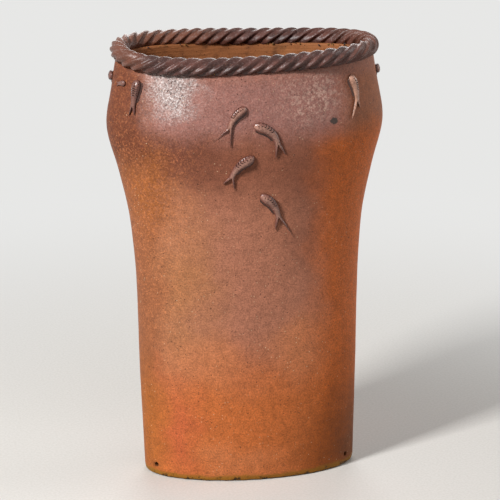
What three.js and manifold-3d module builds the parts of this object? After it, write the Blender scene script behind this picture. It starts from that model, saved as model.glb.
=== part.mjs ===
// A tall oval stoneware floor pot, hand-built, in millimetres with +Z up.
// The oval's long axis runs along X, the face with the loose shoal of fish looks towards -Y,
// and the origin is on the floor under the middle of the foot.
// A bearing is the oval's own angle in degrees: 0 at the +X end, 90 at the back, -90 at the front.

import * as THREE from "three";
import { mergeVertices } from "three/addons/utils/BufferGeometryUtils.js";
import Module from "manifold-3d";

// Driving dimensions of the wall: the oval's length at eight heights, and its depth at both ends
const FOOT_LENGTH = 344;
const FOOT_DEPTH = 175;
const LOWER_LENGTH = 354;
const LOWER_HEIGHT = 180;
const WAIST_LENGTH = 364.5;
const WAIST_HEIGHT = 370;
const FLARE_START_LENGTH = 375.5;
const FLARE_START_HEIGHT = 428;
const FLARE_LENGTH = 406;
const FLARE_HEIGHT = 500;
const SHOULDER_LENGTH = 442.5;
const SHOULDER_HEIGHT = 578;
const NECK_LENGTH = 422;
const NECK_HEIGHT = 637;
const MOUTH_LENGTH = 409;
const MOUTH_DEPTH = 202;
const MOUTH_HEIGHT = 675.5;
const WALL_THICKNESS = 13;
const FOOT_WALL_THICKNESS = 16;
// The hand-built wall leans a little towards -X from foot to mouth
const MOUTH_LEAN = -7;
// Its mouth isn't level: both ends and the back stand higher, and one diagonal is lifted
const UNEVEN_FROM_HEIGHT = 590;
const END_RISE = 6;
const BACK_RISE = 3.5;
const DIAGONAL_RISE = 2.9;

// Driving dimensions of the floor slab and of the drain holes through the wall above it
const SLAB_THICKNESS = 12;
const SLAB_CLEARANCE = 0.3;
const DRAIN_DIAMETER = 8;
const DRAIN_ABOVE_SLAB = 2.5;
const DRAIN_BEARINGS = [-158, -27, 27, 158];

// Driving dimensions of the twisted clay roll on the rim
const ROPE_RIDGE_RADIUS = 14.6;
const ROPE_VALLEY_RADIUS = 11.7;
const ROPE_EDGES = 5;
const ROPE_RIDGE_SPACING = 21.7;
const ROPE_SEAT_DEPTH = 3.5;
const ROPE_CLEARANCE = 0.3;

// Driving dimensions of the applied fish
const FISH_LENGTH = 50;
const FISH_WIDTH = 16.5;
const FISH_ROOT_WIDTH = 9;
const FISH_HEIGHT = 8.6;
const FISH_ROOT_HEIGHT = 5;
const PRONG_ROOT_WIDTH = 5.8;
const PRONG_ROOT_OFFSET = 2.2;
const PRONG_HEIGHT = 3.8;
const PRONG_TIP_WIDTH = 0.8;
const PRONG_OVERLAP = 7;
const PRONG_LIFT = 0.15;
const FISH_CLEARANCE = 0.35;
// The rounded nose takes up this share of the body, and the body's first ring lies a little inside it
const NOSE_SHARE = 0.2;
const NOSE_START_SHARE = 0.02;
// A smaller fish is slimmer too, down to the least share of the full width and height
const SLIMMEST_SHARE = 0.35;
// A fish is a round roll pressed onto the wall: its section is widest at this share of its height
const WIDEST_SHARE = 0.4;

// Each fish: where its nose is (the level is a share of the mouth's height), which way its body runs
// from the nose (0 is to the right round the wall, -90 is straight down), how far the body turns,
// and its size and its tail prongs' as shares of the fish length
const FISH = [
  { name: "fish_front_1", bearing: -94.4, level: 0.9193, heading: -158, turn: 58, size: 0.9,
    prongs: [{ angle: 8, size: 0.6 }, { angle: -38, size: 0.28 }] },
  { name: "fish_front_2", bearing: -92.4, level: 0.8734, heading: 4, turn: -82, size: 1.08,
    prongs: [{ angle: -12, size: 0.44 }, { angle: 21, size: 0.44 }] },
  { name: "fish_front_3", bearing: -91.2, level: 0.8009, heading: -168, turn: 56, size: 1.06,
    prongs: [{ angle: 28, size: 0.4 }, { angle: -30, size: 0.34 }] },
  { name: "fish_front_4", bearing: -89.3, level: 0.7076, heading: -22, turn: -56, size: 1.04,
    prongs: [{ angle: -20, size: 0.42 }, { angle: 25, size: 0.68 }] },
  { name: "fish_left", bearing: -148.6, level: 0.9771, heading: -96, turn: 6, size: 0.88,
    prongs: [{ angle: -10, size: 0.3 }, { angle: 14, size: 0.26 }] },
  { name: "fish_left_small", bearing: -158, level: 0.9607, heading: -172, turn: 10, size: 0.34,
    prongs: [{ angle: 20, size: 0.12 }, { angle: -20, size: 0.12 }] },
  { name: "fish_left_end", bearing: -180.5, level: 0.9607, heading: -176, turn: 18, size: 0.84,
    prongs: [{ angle: 20, size: 0.36 }, { angle: -22, size: 0.32 }] },
  { name: "fish_right", bearing: -43.4, level: 0.9681, heading: -56, turn: -48, size: 0.84,
    prongs: [{ angle: -12, size: 0.58 }, { angle: 24, size: 0.22 }] },
  { name: "fish_right_end", bearing: -8.5, level: 0.9593, heading: -4, turn: -16, size: 0.84,
    prongs: [{ angle: -20, size: 0.36 }, { angle: 22, size: 0.32 }] },
  { name: "fish_back_1", bearing: 101, level: 0.9149, heading: -30, turn: -50, size: 0.96,
    prongs: [{ angle: -16, size: 0.44 }, { angle: 22, size: 0.4 }] },
  { name: "fish_back_2", bearing: 88, level: 0.8823, heading: -160, turn: 52, size: 1,
    prongs: [{ angle: 20, size: 0.44 }, { angle: -20, size: 0.36 }] },
  { name: "fish_back_3", bearing: 96, level: 0.7876, heading: -20, turn: -60, size: 1.04,
    prongs: [{ angle: -18, size: 0.4 }, { angle: 24, size: 0.52 }] },
  { name: "fish_back_4", bearing: 84, level: 0.7195, heading: -150, turn: 44, size: 1,
    prongs: [{ angle: 18, size: 0.48 }, { angle: -24, size: 0.36 }] },
];

// How finely the curved shapes are faceted
const FACETS_ROUND_WALL = 64;
const WALL_STEP_BELOW_WAIST = 46;
const WALL_STEP_ABOVE_WAIST = 16;
const WALL_STEP_INSIDE = 48;
const FACETS_ROUND_ROPE = 15;
const ROPE_STEPS_PER_RIDGE = 4;
const ROPE_CURVE_POINTS = 256;
const ROPE_CURVE_DIVISIONS = 2048;
const FACETS_ROUND_DRAIN = 12;
const FISH_BODY_STEPS = 7;
const FISH_ARCH_STEPS = 6;
const PRONG_STEPS = 3;
const PRONG_ARCH_STEPS = 3;
// Above 1, a fish's rings crowd towards its nose
const NOSE_CROWDING = 1.3;
const MERGE_DISTANCE = 1e-5;

const CLAY = { color: 0x9c5a3c, roughness: 0.72, metalness: 0 };
const SHOULDER_GLAZE = { color: 0x6e4038, roughness: 0.42, metalness: 0 };
const BARE_CLAY = { color: 0xa9673f, roughness: 0.85, metalness: 0 };
const FISH_GLAZE = { color: 0x8a5547, roughness: 0.4, metalness: 0 };

const wasm = await Module();
wasm.setup();

// Half of the oval's length at eight heights, from the foot to the mouth
const WALL_STATIONS = [
  [0, FOOT_LENGTH / 2],
  [LOWER_HEIGHT, LOWER_LENGTH / 2],
  [WAIST_HEIGHT, WAIST_LENGTH / 2],
  [FLARE_START_HEIGHT, FLARE_START_LENGTH / 2],
  [FLARE_HEIGHT, FLARE_LENGTH / 2],
  [SHOULDER_HEIGHT, SHOULDER_LENGTH / 2],
  [NECK_HEIGHT, NECK_LENGTH / 2],
  [MOUTH_HEIGHT, MOUTH_LENGTH / 2],
];

function stationSlope(index) {
  const last = WALL_STATIONS.length - 1;
  const [height, value] = WALL_STATIONS[index];
  const before = WALL_STATIONS[Math.max(index - 1, 0)];
  const after = WALL_STATIONS[Math.min(index + 1, last)];
  if (index === 0) return (after[1] - value) / (after[0] - height);
  if (index === last) return (value - before[1]) / (height - before[0]);
  const spanBelow = height - before[0];
  const spanAbove = after[0] - height;
  const slopeBelow = (value - before[1]) / spanBelow;
  const slopeAbove = (after[1] - value) / spanAbove;
  return (slopeBelow * spanAbove + slopeAbove * spanBelow) / (spanBelow + spanAbove);
}

// A smooth curve through the stations
function halfLengthAt(height) {
  let index = 0;
  while (index < WALL_STATIONS.length - 2 && height > WALL_STATIONS[index + 1][0]) index += 1;
  const [z0, v0] = WALL_STATIONS[index];
  const [z1, v1] = WALL_STATIONS[index + 1];
  const span = z1 - z0;
  const t = (height - z0) / span;
  const startPart = 2 * t ** 3 - 3 * t ** 2 + 1;
  const startSlopePart = t ** 3 - 2 * t ** 2 + t;
  const endSlopePart = t ** 3 - t ** 2;
  return startPart * v0 + (1 - startPart) * v1
    + span * (startSlopePart * stationSlope(index) + endSlopePart * stationSlope(index + 1));
}

function depthShareAt(height) {
  const t = height / MOUTH_HEIGHT;
  return THREE.MathUtils.lerp(FOOT_DEPTH / FOOT_LENGTH, MOUTH_DEPTH / MOUTH_LENGTH, t);
}

function halfDepthAt(height) {
  return halfLengthAt(height) * depthShareAt(height);
}

function leanAt(height) {
  return MOUTH_LEAN * height / MOUTH_HEIGHT;
}

// How far a place near the mouth stands above or below its nominal height
function unevenRise(bearing, height) {
  const angle = THREE.MathUtils.degToRad(bearing);
  const share = THREE.MathUtils.smoothstep(height, UNEVEN_FROM_HEIGHT, MOUTH_HEIGHT);
  const rise = END_RISE * Math.cos(angle) ** 2
    + BACK_RISE * Math.sin(angle)
    - DIAGONAL_RISE * Math.sin(2 * angle);
  return share * rise;
}

function wallThicknessAt(height) {
  return THREE.MathUtils.lerp(FOOT_WALL_THICKNESS, WALL_THICKNESS, height / MOUTH_HEIGHT);
}

// A point on the oval at a height, drawn in by an inset
function ovalPoint(bearing, height, inset = 0) {
  const angle = THREE.MathUtils.degToRad(bearing);
  return new THREE.Vector3(
    leanAt(height) + (halfLengthAt(height) - inset) * Math.cos(angle),
    (halfDepthAt(height) - inset) * Math.sin(angle),
    height + unevenRise(bearing, height),
  );
}

// Outward direction of the wall, from two short steps on its surface
function wallNormal(bearing, height) {
  const bearingStep = 0.1;
  const heightStep = 0.5;
  const round = ovalPoint(bearing + bearingStep, height).sub(ovalPoint(bearing - bearingStep, height));
  const up = ovalPoint(bearing, height + heightStep).sub(ovalPoint(bearing, height - heightStep));
  return round.cross(up).normalize();
}

function circle(count) {
  return Array.from({ length: count }, (_, index) => 360 * index / count);
}

// A closed mesh from rings of points with equal counts; both ends are capped,
// or the last ring joins the first one again when the loft is a closed loop
function loft(rings, closedLoop = false) {
  const count = rings[0].length;
  const positions = rings.flat().flatMap((point) => [point.x, point.y, point.z]);
  const faces = [];
  const spans = closedLoop ? rings.length : rings.length - 1;
  for (let ring = 0; ring < spans; ring += 1) {
    for (let side = 0; side < count; side += 1) {
      const a = ring * count + side;
      const b = ring * count + (side + 1) % count;
      const c = ((ring + 1) % rings.length) * count + (side + 1) % count;
      const d = ((ring + 1) % rings.length) * count + side;
      faces.push(a, b, c, a, c, d);
    }
  }
  if (!closedLoop) {
    const first = rings.length * count - count;
    for (let side = 1; side < count - 1; side += 1) {
      faces.push(0, side + 1, side);
      faces.push(first, first + side, first + side + 1);
    }
  }
  const geometry = new THREE.BufferGeometry();
  geometry.setAttribute("position", new THREE.Float32BufferAttribute(positions, 3));
  geometry.setIndex(faces);
  return geometry;
}

function solidFrom(geometry) {
  const bare = geometry.clone();
  bare.deleteAttribute("normal");
  bare.deleteAttribute("uv");
  const merged = mergeVertices(bare, MERGE_DISTANCE);
  return new wasm.Manifold(new wasm.Mesh({
    numProp: 3,
    vertProperties: new Float32Array(merged.attributes.position.array),
    triVerts: new Uint32Array(merged.index.array),
  }));
}

function geometryFrom(solid) {
  const mesh = solid.getMesh();
  const geometry = new THREE.BufferGeometry();
  geometry.setAttribute("position", new THREE.BufferAttribute(new Float32Array(mesh.vertProperties), 3));
  geometry.setIndex(new THREE.BufferAttribute(new Uint32Array(mesh.triVerts), 1));
  geometry.computeVertexNormals();
  return geometry;
}

function part(name, geometry, finish) {
  const mesh = new THREE.Mesh(geometry, new THREE.MeshStandardMaterial(finish));
  mesh.name = name;
  return mesh;
}

// Equal steps from a low height to a high one, no longer than the step given
function heightSteps(low, high, step) {
  const count = Math.ceil((high - low) / step);
  return Array.from({ length: count + 1 }, (_, index) => low + (high - low) * index / count);
}

// The wall: the outside from foot to mouth, then the inside back down to the floor
function makeWall() {
  const outside = [
    ...heightSteps(0, WAIST_HEIGHT, WALL_STEP_BELOW_WAIST),
    ...heightSteps(WAIST_HEIGHT, MOUTH_HEIGHT, WALL_STEP_ABOVE_WAIST).slice(1),
  ];
  const inside = heightSteps(0, MOUTH_HEIGHT, WALL_STEP_INSIDE).reverse();
  const bearings = circle(FACETS_ROUND_WALL);
  const rings = [
    ...outside.map((height) => bearings.map((bearing) => ovalPoint(bearing, height))),
    ...inside.map((height) => bearings.map((b) => ovalPoint(b, height, wallThicknessAt(height)))),
  ];
  let wall = solidFrom(loft(rings, true));
  const drainHeight = SLAB_THICKNESS + DRAIN_ABOVE_SLAB + DRAIN_DIAMETER / 2;
  for (const bearing of DRAIN_BEARINGS) {
    wall = wall.subtract(makeDrainCutter(bearing, drainHeight));
  }
  return part("wall", geometryFrom(wall), CLAY);
}

// A level cylinder square to the wall, which stands out of it by a wall's thickness on both sides
function makeDrainCutter(bearing, height) {
  const length = 3 * FOOT_WALL_THICKNESS;
  const cutter = new THREE.CylinderGeometry(
    DRAIN_DIAMETER / 2, DRAIN_DIAMETER / 2, length, FACETS_ROUND_DRAIN,
  );
  const outward = wallNormal(bearing, height).setZ(0).normalize();
  const turn = new THREE.Quaternion().setFromUnitVectors(new THREE.Vector3(0, 1, 0), outward);
  const middle = ovalPoint(bearing, height, wallThicknessAt(height) / 2);
  cutter.applyQuaternion(turn);
  cutter.translate(middle.x, middle.y, middle.z);
  return solidFrom(cutter);
}

// The floor slab lies inside the foot of the wall
function makeSlab() {
  const bearings = circle(FACETS_ROUND_WALL);
  const inset = wallThicknessAt(0) + SLAB_CLEARANCE;
  const low = bearings.map((bearing) => ovalPoint(bearing, 0, inset));
  const high = low.map((point) => point.clone().setZ(SLAB_THICKNESS));
  return part("floor_slab", loft([low, high]), BARE_CLAY);
}

// The twisted roll's line round the mouth, at equal steps of length; it closes after whole turns
function ropeLine() {
  const seat = new THREE.Vector3(0, 0, ROPE_RIDGE_RADIUS - ROPE_SEAT_DEPTH);
  const points = circle(ROPE_CURVE_POINTS)
    .map((bearing) => ovalPoint(bearing, MOUTH_HEIGHT, WALL_THICKNESS / 2).add(seat));
  const curve = new THREE.CatmullRomCurve3(points, true);
  curve.arcLengthDivisions = ROPE_CURVE_DIVISIONS;
  const turns = Math.round(curve.getLength() / (ROPE_RIDGE_SPACING * ROPE_EDGES));
  const steps = turns * ROPE_EDGES * ROPE_STEPS_PER_RIDGE;
  return Array.from({ length: steps }, (_, index) => ({
    centre: curve.getPointAt(index / steps),
    forward: curve.getTangentAt(index / steps),
    twist: 2 * Math.PI * index / (ROPE_STEPS_PER_RIDGE * ROPE_EDGES),
  }));
}

// The section is a bar with five rounded edges and hollow sides, and it turns along the roll
function ropeRadius(angle) {
  const nearEdge = 0.5 + 0.5 * Math.cos(ROPE_EDGES * angle);
  return THREE.MathUtils.lerp(ROPE_VALLEY_RADIUS, ROPE_RIDGE_RADIUS, nearEdge);
}

function makeRope() {
  const up = new THREE.Vector3(0, 0, 1);
  const rings = ropeLine().map(({ centre, forward, twist }) => {
    const outward = forward.clone().cross(up).normalize();
    return circle(FACETS_ROUND_ROPE).reverse().map((degrees) => {
      const angle = THREE.MathUtils.degToRad(degrees) + twist;
      const radius = ropeRadius(angle - twist);
      return centre.clone()
        .addScaledVector(outward, radius * Math.cos(angle))
        .addScaledVector(up, radius * Math.sin(angle));
    });
  });
  const rope = solidFrom(loft(rings, true)).subtract(makeSeatCutter());
  return part("rope_rim", geometryFrom(rope), SHOULDER_GLAZE);
}

// A band whose top follows the wall's uneven top, and which cuts the roll's seat flat
function makeSeatCutter() {
  const reach = ROPE_RIDGE_RADIUS * 2;
  const rings = circle(FACETS_ROUND_WALL).map((bearing) => {
    const outer = ovalPoint(bearing, MOUTH_HEIGHT, -reach);
    const inner = ovalPoint(bearing, MOUTH_HEIGHT, WALL_THICKNESS + reach);
    const top = (point) => point.clone().setZ(point.z + ROPE_CLEARANCE);
    const bottom = (point) => point.clone().setZ(point.z - reach);
    return [top(outer), bottom(outer), bottom(inner), top(inner)];
  });
  return solidFrom(loft(rings, true));
}

// A place on the wall, reached from a fish's nose by going round, up and then outward
function onWall(fish, round, up, out) {
  const noseHeight = fish.level * MOUTH_HEIGHT;
  const degreeLength = ovalPoint(fish.bearing + 0.5, noseHeight)
    .distanceTo(ovalPoint(fish.bearing - 0.5, noseHeight));
  const bearing = fish.bearing + round / degreeLength;
  const height = noseHeight + up;
  const normal = wallNormal(bearing, height);
  return ovalPoint(bearing, height).addScaledVector(normal, FISH_CLEARANCE + out);
}

// Position and direction along a fish's curved back line, at a share of its length
function fishLine(fish, share) {
  const start = THREE.MathUtils.degToRad(fish.heading);
  const turn = THREE.MathUtils.degToRad(fish.turn);
  const radius = fish.size * FISH_LENGTH / turn;
  const angle = start + turn * share;
  return {
    round: radius * (Math.sin(angle) - Math.sin(start)),
    up: radius * (Math.cos(start) - Math.cos(angle)),
    angle,
  };
}

// An arched ring across a fish or a prong, flat against the wall
function archRing(fish, place, width, height, lift, steps) {
  const undercut = Math.asin(WIDEST_SHARE / (1 - WIDEST_SHARE));
  return Array.from({ length: steps + 1 }, (_, index) => {
    const angle = THREE.MathUtils.lerp(-undercut, Math.PI + undercut, index / steps);
    const side = width / 2 * Math.cos(angle);
    const round = place.round - side * Math.sin(place.angle);
    const up = place.up + side * Math.cos(place.angle);
    const out = WIDEST_SHARE + (1 - WIDEST_SHARE) * Math.sin(angle);
    return onWall(fish, round, up, lift + height * out);
  });
}

// The nose is rounded and the body tapers from there to the root of the tail
function bodyFullness(share) {
  if (share >= NOSE_SHARE) return 1;
  const fromFull = 1 - share / NOSE_SHARE;
  return Math.sqrt(1 - fromFull ** 2);
}

function makeFishBody(fish, slimness) {
  const rings = Array.from({ length: FISH_BODY_STEPS + 1 }, (_, index) => {
    const step = (index / FISH_BODY_STEPS) ** NOSE_CROWDING;
    const share = THREE.MathUtils.lerp(NOSE_START_SHARE, 1, step);
    const taper = THREE.MathUtils.smoothstep(share, NOSE_SHARE, 1);
    const fullness = slimness * bodyFullness(share);
    const width = fullness * THREE.MathUtils.lerp(FISH_WIDTH, FISH_ROOT_WIDTH, taper);
    const height = fullness * THREE.MathUtils.lerp(FISH_HEIGHT, FISH_ROOT_HEIGHT, taper);
    return archRing(fish, fishLine(fish, share), width, height, 0, FISH_ARCH_STEPS);
  });
  return solidFrom(loft(rings));
}

// A prong starts inside the body beside its middle line and runs out to a thin tip
function makeProng(fish, prong, slimness) {
  const length = fish.size * FISH_LENGTH;
  const overlap = Math.min(PRONG_OVERLAP * slimness, length / 2);
  const root = fishLine(fish, 1 - overlap / length);
  const angle = fishLine(fish, 1).angle + THREE.MathUtils.degToRad(prong.angle);
  const side = Math.sign(prong.angle) * PRONG_ROOT_OFFSET * slimness;
  const startRound = root.round - side * Math.sin(root.angle);
  const startUp = root.up + side * Math.cos(root.angle);
  const reach = overlap + prong.size * FISH_LENGTH;
  const rings = Array.from({ length: PRONG_STEPS + 1 }, (_, index) => {
    const share = index / PRONG_STEPS;
    const place = {
      round: startRound + reach * share * Math.cos(angle),
      up: startUp + reach * share * Math.sin(angle),
      angle,
    };
    const width = THREE.MathUtils.lerp(PRONG_ROOT_WIDTH * slimness, PRONG_TIP_WIDTH, share);
    const height = THREE.MathUtils.lerp(PRONG_HEIGHT * slimness, PRONG_TIP_WIDTH, share);
    return archRing(fish, place, width, height, PRONG_LIFT, PRONG_ARCH_STEPS);
  });
  return solidFrom(loft(rings));
}

function makeFish(fish) {
  const slimness = THREE.MathUtils.lerp(SLIMMEST_SHARE, 1, fish.size);
  let solid = makeFishBody(fish, slimness);
  for (const prong of fish.prongs) {
    solid = solid.add(makeProng(fish, prong, slimness));
  }
  return part(fish.name, geometryFrom(solid), FISH_GLAZE);
}

const pot = new THREE.Group();
pot.name = "stoneware_floor_pot";
pot.add(makeWall(), makeSlab(), makeRope(), ...FISH.map(makeFish));

export default pot;
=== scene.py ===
"""A tall oval stoneware floor pot with a twisted clay roll on its rim and small applied fish.

Lengths are in metres. The oval's long axis runs along X, the loose shoal looks towards -Y, and the
origin is on the floor under the middle of the foot. A bearing is the oval's own angle in degrees:
0 at the +X end, 90 at the back, -90 at the front.
"""

import math
import random

import bpy
from mathutils import Euler, Matrix, Vector


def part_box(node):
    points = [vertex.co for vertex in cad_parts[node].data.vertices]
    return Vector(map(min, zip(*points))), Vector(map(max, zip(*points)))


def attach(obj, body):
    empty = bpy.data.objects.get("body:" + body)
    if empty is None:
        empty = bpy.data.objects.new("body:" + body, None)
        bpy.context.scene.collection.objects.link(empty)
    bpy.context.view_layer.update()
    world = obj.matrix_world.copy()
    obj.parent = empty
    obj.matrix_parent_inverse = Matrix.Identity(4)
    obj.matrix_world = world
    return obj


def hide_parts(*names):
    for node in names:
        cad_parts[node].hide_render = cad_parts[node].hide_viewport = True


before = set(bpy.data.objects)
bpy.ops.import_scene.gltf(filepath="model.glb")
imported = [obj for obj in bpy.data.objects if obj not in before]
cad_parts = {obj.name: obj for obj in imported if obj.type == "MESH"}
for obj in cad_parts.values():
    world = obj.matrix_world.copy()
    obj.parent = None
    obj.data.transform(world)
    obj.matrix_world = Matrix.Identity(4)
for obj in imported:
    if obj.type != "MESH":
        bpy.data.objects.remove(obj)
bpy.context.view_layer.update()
slab_low, slab_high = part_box("floor_slab")

bl_info = {
    "name": "Stoneware Floor Pot",
    "version": (1, 0, 0),
    "blender": (4, 5, 0),
    "location": "3D View > Sidebar > Pot",
    "description": "Builds a tall oval salt-glazed floor pot around its measured solids",
    "category": "Add Mesh",
}

MM = 0.001

# Each fish: the bearing and level of its nose (the level is a share of the mouth's height), which
# way its body runs from the nose (0 is to the right round the wall, -90 is straight down), how far
# the body turns, its size, and its two tail prongs. A prong has its angle off the body's line and
# its length in fish lengths, and a third value is the thin line drawn on from its tip
FISH_VALUES = ("bearing", "level", "heading", "turn", "size", "prongs")
FISH = {
    "fish_front_1": (-94.4, 0.9193, -158, 58, 0.9, ((8, 0.6), (-38, 0.28, 0.36))),
    "fish_front_2": (-92.4, 0.8734, 4, -82, 1.08, ((-12, 0.44), (21, 0.44))),
    "fish_front_3": (-91.2, 0.8009, -168, 56, 1.06, ((28, 0.4), (-30, 0.34))),
    "fish_front_4": (-89.3, 0.7076, -22, -56, 1.04, ((-20, 0.42), (25, 0.68, 0.28))),
    "fish_left": (-148.6, 0.9771, -96, 6, 0.88, ((-10, 0.3), (14, 0.26))),
    "fish_left_small": (-158, 0.9607, -172, 10, 0.34, ((20, 0.12), (-20, 0.12))),
    "fish_left_end": (-180.5, 0.9607, -176, 18, 0.84, ((20, 0.36), (-22, 0.32))),
    "fish_right": (-43.4, 0.9681, -56, -48, 0.84, ((-12, 0.58), (24, 0.22))),
    "fish_right_end": (-8.5, 0.9593, -4, -16, 0.84, ((-20, 0.36), (22, 0.32))),
    "fish_back_1": (101, 0.9149, -30, -50, 0.96, ((-16, 0.44), (22, 0.4))),
    "fish_back_2": (88, 0.8823, -160, 52, 1, ((20, 0.44), (-20, 0.36))),
    "fish_back_3": (96, 0.7876, -20, -60, 1.04, ((-18, 0.4), (24, 0.52))),
    "fish_back_4": (84, 0.7195, -150, 44, 1, ((18, 0.48), (-24, 0.36))),
}

# The attribute that says how proud a point of a fish stands: 0 at the wall, 1 on the back
PROUD = "proud"

# The value of a cloud texture at which a dent neither sinks nor swells
CLOUD_LEVEL = 0.4985

# The background that the camera sees, in linear values
BACKGROUND = (0.80, 0.80, 0.79)

# The floor's two seen colours, and the one that it throws back onto the pot
FLOOR = ("DAD7D1", "E2DFDA")
FLOOR_GLOW = "8F8B86"


def length(name, text, default):
    return bpy.props.FloatProperty(name=name, description=text, default=default, unit="LENGTH")


def power(name, text, default):
    return bpy.props.FloatProperty(name=name, description=text, default=default, unit="POWER")


def whole(name, text, default):
    return bpy.props.IntProperty(name=name, description=text, default=default)


def shade(code):
    """A colour written as six hex digits, in Blender's linear values"""
    parts = (int(code[start:start + 2], 16) / 255 for start in (0, 2, 4))
    return tuple(part / 12.92 if part <= 0.04045 else ((part + 0.055) / 1.055) ** 2.4
                 for part in parts)


def colour(name, text, code):
    return bpy.props.FloatVectorProperty(name=name, description=text, default=shade(code),
                                         subtype="COLOR", size=3, min=0, max=1)


class WallSettings(bpy.types.PropertyGroup):
    """The oval wall, from the foot to the mouth"""
    foot_length: length("Foot length", "Length of the oval where it stands", 0.344)
    foot_depth: length("Foot depth", "Depth of the oval where it stands", 0.175)
    lower_length: length("Lower length", "Length of the oval in the lower body", 0.354)
    lower_height: length("Lower height", "Height of the lower body's station", 0.180)
    waist_length: length("Waist length", "Length of the oval at the waist", 0.3645)
    waist_height: length("Waist height", "Height of the waist", 0.370)
    flare_start_length: length("Flare start length", "Length where the flare begins", 0.3755)
    flare_start_height: length("Flare start height", "Height where the flare begins", 0.428)
    flare_length: length("Flare length", "Length in the middle of the flare", 0.406)
    flare_height: length("Flare height", "Height of the middle of the flare", 0.500)
    shoulder_length: length("Shoulder length", "Greatest length of the oval", 0.4425)
    shoulder_height: length("Shoulder height", "Height of the shoulder", 0.578)
    neck_length: length("Neck length", "Length of the oval at the neck", 0.422)
    neck_height: length("Neck height", "Height of the neck", 0.637)
    mouth_length: length("Mouth length", "Length of the oval under the rope rim", 0.409)
    mouth_depth: length("Mouth depth", "Depth of the oval under the rope rim", 0.202)
    mouth_height: length("Mouth height", "Height of the wall's top", 0.6755)
    thickness: length("Wall thickness", "Thickness of the wall at the mouth", 0.013)
    foot_thickness: length("Foot thickness", "Thickness of the wall at the foot", 0.016)
    lean: length("Lean", "How far the mouth leans along X", -0.007)
    uneven_from: length("Uneven from", "Height above which the mouth stands uneven", 0.590)
    end_rise: length("End rise", "How far both ends of the mouth stand up", 0.006)
    back_rise: length("Back rise", "How far the back of the mouth stands up", 0.0035)
    diagonal_rise: length("Diagonal rise", "How far one diagonal of the mouth is lifted", 0.0029)
    hand_unevenness: length("Hand unevenness", "Depth of the soft dents of hand building", 0.0022)
    drain_diameter: length("Drain diameter", "Width of the drain holes", 0.008)
    drain_height: length("Drain height", "Height of the drain holes' middle", 0.0185)
    drain_bearings: bpy.props.FloatVectorProperty(
        name="Drain bearings", description="Bearings of the four drain holes, in degrees",
        size=4, default=(-158, -27, 27, 158))


class RopeSettings(bpy.types.PropertyGroup):
    """The twisted clay roll on the rim"""
    ridge_radius: length("Ridge radius", "Radius of the roll over its ridges", 0.0146)
    seat_depth: length("Seat depth", "How far the roll is pressed onto the wall", 0.0035)
    turns: whole("Turns", "Whole turns of the twist round the rim", 9)
    ridges: whole("Ridges", "Ridges round the roll's section", 5)
    unevenness: length("Unevenness", "Depth of the finger marks on the roll", 0.0016)
    crumbs: whole("Crumbs", "Crumbs of clay left along the roll's seat", 150)


class FishSettings(bpy.types.PropertyGroup):
    """The small applied fish"""
    length: length("Fish length", "Length of a fish of size 1, without its tail", 0.050)
    width: length("Fish width", "Width behind the head", 0.0165)
    root_width: length("Tail root width", "Width where the tail forks", 0.009)
    height: length("Fish height", "How proud of the wall the back stands", 0.0086)
    root_height: length("Tail root height", "How proud of the wall the tail root stands", 0.005)
    fin_width: length("Fin width", "Width of the thin edge along a fish's inner side", 0.0042)
    tail_lift: length("Tail lift", "How far the tail's tips stand off the wall", 0.0022)
    scale_width: length("Scale width", "Width of the pressed scale marks", 0.0064)
    scale_groove: length("Scale groove", "Width of the groove round a scale mark", 0.0019)


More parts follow.
